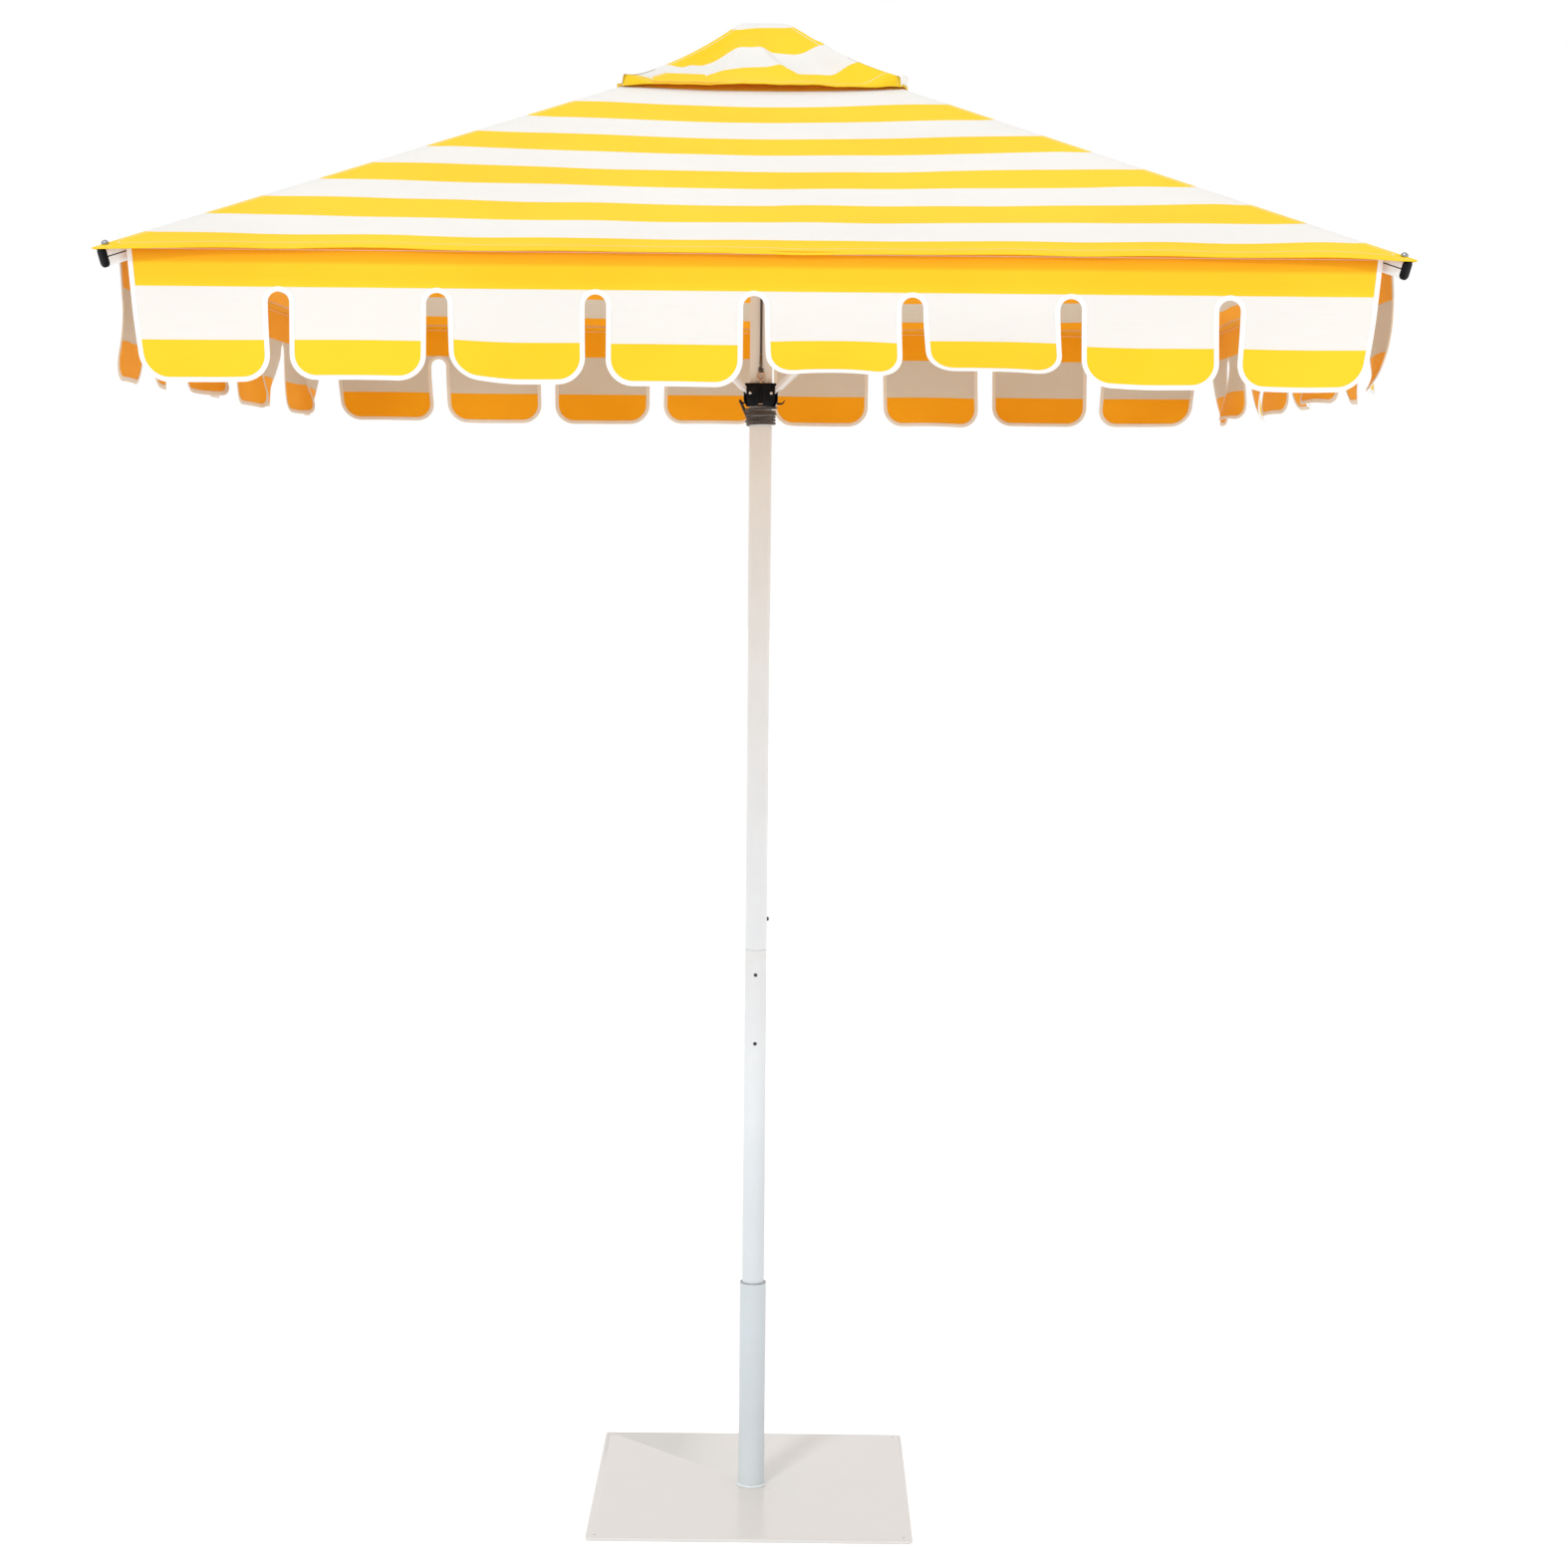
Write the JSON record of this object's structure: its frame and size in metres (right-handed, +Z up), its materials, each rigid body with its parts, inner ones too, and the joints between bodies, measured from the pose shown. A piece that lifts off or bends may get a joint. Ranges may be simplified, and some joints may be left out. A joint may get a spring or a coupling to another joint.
{
  "type": "beach umbrella",
  "caption": "Square beach umbrella: striped vented canopy with a scalloped valance on a round pole, raised by a rope-held runner, standing on a flat plate base.",
  "frame": {"origin": "centre of the base plate's underside, on the ground", "axes": "+Z up along the pole, X and Y along the sides of the canopy and the plate, -Y the side with the rope and the pole screws"},
  "size_m": [2, 2, 2.77],
  "materials": {
    "plate": "gloss white powder coat",
    "base_tube": "satin light grey powder coat",
    "pole": "satin white powder coat",
    "black_plastic": "moulded, fine grain",
    "steel": "plain",
    "chrome": "polished dome",
    "rib": "white coated extrusion",
    "strut": "light coated flat bar",
    "canopy": "woven, yellow and white stripes",
    "rope": "braided polyester",
    "rope_fitting": "copper-toned fitting"
  },
  "bodies": {
    "base": {"base_plate": "plate", "base_tube": "base_tube"},
    "pole_bush": {"tube_bush": "black_plastic"},
    "lower_pole": {"lower_pole": "pole", "pole_foot_plug": "black_plastic", "pole_spigot": "steel", "spigot_screw_lower": "steel", "spigot_screw_upper": "steel"},
    "upper_pole": {"upper_pole": "pole", "button_spring": "steel", "crown_hub": "black_plastic", "pulley_axle": "steel", "top_disc": "black_plastic", "top_screw": "steel", "rope_return": "rope"},
    "snap_button": {"snap_button": "black_plastic"},
    "pulley": {"pulley_wheel": "black_plastic"},
    "runner": {"runner_hub": "black_plastic", "rope_eye": "rope_fitting", "rope_swivel": "rope_fitting", "rope_lift": "rope", "rope_wrap": "rope"},
    "rib_front_right": {"rib_front_right": "rib", "rib_end_cap_front_right": "black_plastic", "corner_screw_front_right": "chrome", "rib_bracket_front_right": "black_plastic", "canopy_quarter_front_right": "canopy", "vent_quarter_front_right": "canopy"},
    "strut_front_right": {"strut_front_right": "strut"},
    "valance_front_right": {"valance_front_right_a": "canopy", "valance_front_right_b": "canopy"},
    "rib_back_right": {"rib_back_right": "rib", "rib_end_cap_back_right": "black_plastic", "corner_screw_back_right": "chrome", "rib_bracket_back_right": "black_plastic", "canopy_quarter_back_right": "canopy", "vent_quarter_back_right": "canopy"},
    "strut_back_right": {"strut_back_right": "strut"},
    "valance_back_right": {"valance_back_right_a": "canopy", "valance_back_right_b": "canopy"},
    "rib_back_left": {"rib_back_left": "rib", "rib_end_cap_back_left": "black_plastic", "corner_screw_back_left": "chrome", "rib_bracket_back_left": "black_plastic", "canopy_quarter_back_left": "canopy", "vent_quarter_back_left": "canopy"},
    "strut_back_left": {"strut_back_left": "strut"},
    "valance_back_left": {"valance_back_left_a": "canopy", "valance_back_left_b": "canopy"},
    "rib_front_left": {"rib_front_left": "rib", "rib_end_cap_front_left": "black_plastic", "corner_screw_front_left": "chrome", "rib_bracket_front_left": "black_plastic", "canopy_quarter_front_left": "canopy", "vent_quarter_front_left": "canopy"},
    "strut_front_left": {"strut_front_left": "strut"},
    "valance_front_left": {"valance_front_left_a": "canopy", "valance_front_left_b": "canopy"}
  },
  "joints": [
    {"name": "pole_turn", "type": "hinge", "parent": "base", "child": "pole_bush", "pos_m": [0, 0, 0.405], "axis": [0, 0, 1], "continuous": true},
    {"name": "pole_lift", "type": "slide", "parent": "pole_bush", "child": "lower_pole", "axis": [0, 0, 1], "range_m": [0, 0.42]},
    {"name": "upper_pole_lift", "type": "slide", "parent": "lower_pole", "child": "upper_pole", "axis": [0, 0, 1], "range_m": [0, 0.15]},
    {"name": "snap_button_press", "type": "slide", "parent": "upper_pole", "child": "snap_button", "axis": [-1, 0, 0], "range_m": [0, 0.003], "stiffness_N_per_m": 700, "springref_m": -0.002, "deforming": ["button_spring"]},
    {"name": "pulley_spin", "type": "hinge", "parent": "upper_pole", "child": "pulley", "pos_m": [0, 0, 2.655], "axis": [1, 0, 0], "continuous": true},
    {"name": "fold_front_right", "type": "hinge", "parent": "upper_pole", "child": "rib_front_right", "pos_m": [0.04243, -0.04243, 2.7], "axis": [0.7071, 0.7071, 0], "range_deg": [0, 71.54], "deforming": ["canopy_quarter_front_right", "vent_quarter_front_right"]},
    {"name": "strut_hinge_front_right", "type": "hinge", "parent": "rib_front_right", "child": "strut_front_right", "pos_m": [0.41736, -0.41736, 2.49457], "axis": [0.7071, 0.7071, 0], "range_deg": [-126.18, 0]},
    {"name": "valance_hang_front_right", "type": "hinge", "parent": "rib_front_right", "child": "valance_front_right", "pos_m": [0.97475, -0.97475, 2.25994], "axis": [0.7071, 0.7071, 0], "range_deg": [-71.74, 0], "deforming": ["valance_front_right_a", "valance_front_right_b"]},
    {"name": "fold_back_right", "type": "hinge", "parent": "upper_pole", "child": "rib_back_right", "pos_m": [0.04243, 0.04243, 2.7], "axis": [-0.7071, 0.7071, 0], "range_deg": [0, 71.54], "deforming": ["canopy_quarter_back_right", "vent_quarter_back_right"]},
    {"name": "strut_hinge_back_right", "type": "hinge", "parent": "rib_back_right", "child": "strut_back_right", "pos_m": [0.41736, 0.41736, 2.49457], "axis": [-0.7071, 0.7071, 0], "range_deg": [-126.18, 0]},
    {"name": "valance_hang_back_right", "type": "hinge", "parent": "rib_back_right", "child": "valance_back_right", "pos_m": [0.97475, 0.97475, 2.25994], "axis": [-0.7071, 0.7071, 0], "range_deg": [-71.74, 0], "deforming": ["valance_back_right_a", "valance_back_right_b"]},
    {"name": "fold_back_left", "type": "hinge", "parent": "upper_pole", "child": "rib_back_left", "pos_m": [-0.04243, 0.04243, 2.7], "axis": [-0.7071, -0.7071, 0], "range_deg": [0, 71.54], "deforming": ["canopy_quarter_back_left", "vent_quarter_back_left"]},
    {"name": "strut_hinge_back_left", "type": "hinge", "parent": "rib_back_left", "child": "strut_back_left", "pos_m": [-0.41736, 0.41736, 2.49457], "axis": [-0.7071, -0.7071, 0], "range_deg": [-126.18, 0]},
    {"name": "valance_hang_back_left", "type": "hinge", "parent": "rib_back_left", "child": "valance_back_left", "pos_m": [-0.97475, 0.97475, 2.25994], "axis": [-0.7071, -0.7071, 0], "range_deg": [-71.74, 0], "deforming": ["valance_back_left_a", "valance_back_left_b"]},
    {"name": "fold_front_left", "type": "hinge", "parent": "upper_pole", "child": "rib_front_left", "pos_m": [-0.04243, -0.04243, 2.7], "axis": [0.7071, -0.7071, 0], "range_deg": [0, 71.54], "deforming": ["canopy_quarter_front_left", "vent_quarter_front_left"]},
    {"name": "strut_hinge_front_left", "type": "hinge", "parent": "rib_front_left", "child": "strut_front_left", "pos_m": [-0.41736, -0.41736, 2.49457], "axis": [0.7071, -0.7071, 0], "range_deg": [-126.18, 0]},
    {"name": "valance_hang_front_left", "type": "hinge", "parent": "rib_front_left", "child": "valance_front_left", "pos_m": [-0.97475, -0.97475, 2.25994], "axis": [0.7071, -0.7071, 0], "range_deg": [-71.74, 0], "deforming": ["valance_front_left_a", "valance_front_left_b"]},
    {"name": "runner_slide", "type": "slide", "parent": "upper_pole", "child": "runner", "axis": [0, 0, -1], "range_m": [0, 0.6538], "deforming": ["rope_return"]}
  ],
  "couplings": [
    {"joint": "strut_hinge_front_right", "follows": "fold_front_right", "ratio": -1.7609},
    {"joint": "valance_hang_front_right", "follows": "fold_front_right", "ratio": -1},
    {"joint": "fold_back_right", "follows": "fold_front_right", "ratio": 1},
    {"joint": "strut_hinge_back_right", "follows": "fold_front_right", "ratio": -1.7609},
    {"joint": "valance_hang_back_right", "follows": "fold_front_right", "ratio": -1},
    {"joint": "fold_back_left", "follows": "fold_front_right", "ratio": 1},
    {"joint": "strut_hinge_back_left", "follows": "fold_front_right", "ratio": -1.7609},
    {"joint": "valance_hang_back_left", "follows": "fold_front_right", "ratio": -1},
    {"joint": "fold_front_left", "follows": "fold_front_right", "ratio": 1},
    {"joint": "strut_hinge_front_left", "follows": "fold_front_right", "ratio": -1.7609},
    {"joint": "valance_hang_front_left", "follows": "fold_front_right", "ratio": -1},
    {"joint": "runner_slide", "follows": "fold_front_right", "m_per_rad": 0.52279}
  ]
}
